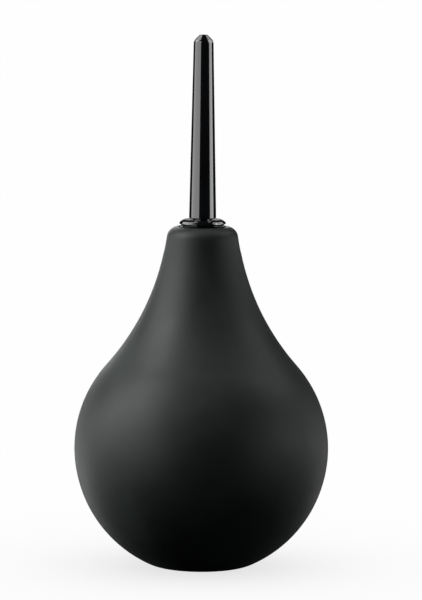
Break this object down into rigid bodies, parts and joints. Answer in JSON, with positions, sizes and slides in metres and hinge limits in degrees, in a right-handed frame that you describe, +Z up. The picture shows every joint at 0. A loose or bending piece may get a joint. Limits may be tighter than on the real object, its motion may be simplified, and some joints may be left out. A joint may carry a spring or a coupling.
{
  "type": "dust blower bulb",
  "caption": "Pear-shaped rubber squeeze bulb with a slim tapered air nozzle in a screw collar and a one-way air inlet valve in its flat base.",
  "frame": {"origin": "centre of the flat ring that the bulb stands on, at ground height", "axes": "+Z up the blower's axis, from the base through the nozzle's tip; the shape is round about Z"},
  "size_m": [0.076, 0.076, 0.1595],
  "materials": {
    "soft_rubber": "matt moulded, soft sheen",
    "seal_rubber": "smooth moulded",
    "gloss_plastic": "gloss moulded",
    "plain_plastic": "plain moulded"
  },
  "bodies": {
    "base": {"bulb": "soft_rubber", "inlet_valve_body": "plain_plastic", "inlet_valve_cage": "plain_plastic"},
    "valve_disc": {"inlet_valve_disc": "seal_rubber"},
    "neck": {"neck_bush": "plain_plastic"},
    "washer": {"captive_washer": "seal_rubber"},
    "collar": {"nozzle_collar": "gloss_plastic"},
    "nozzle": {"nozzle_tube": "gloss_plastic", "nozzle_o_ring": "seal_rubber"}
  },
  "joints": [
    {"name": "bulb_squeeze", "type": "slide", "parent": "base", "child": "neck", "axis": [0, 0, -1], "range_m": [0, 0.02], "stiffness_N_per_m": 1500, "deforming": ["bulb"]},
    {"name": "valve_lift", "type": "slide", "parent": "base", "child": "valve_disc", "axis": [0, 0, 1], "range_m": [0, 0.001]},
    {"name": "collar_lift", "type": "slide", "parent": "neck", "child": "washer", "axis": [0, 0, 1], "range_m": [0, 0.0096]},
    {"name": "collar_turn", "type": "hinge", "parent": "washer", "child": "collar", "pos_m": [0, 0, 0.1027], "axis": [0, 0, 1], "range_deg": [0, 1440]},
    {"name": "nozzle_pull", "type": "slide", "parent": "collar", "child": "nozzle", "axis": [0, 0, 1], "range_m": [0, 0.0068]}
  ],
  "couplings": [
    {"joint": "collar_turn", "follows": "collar_lift", "rad_per_m": 2618}
  ]
}
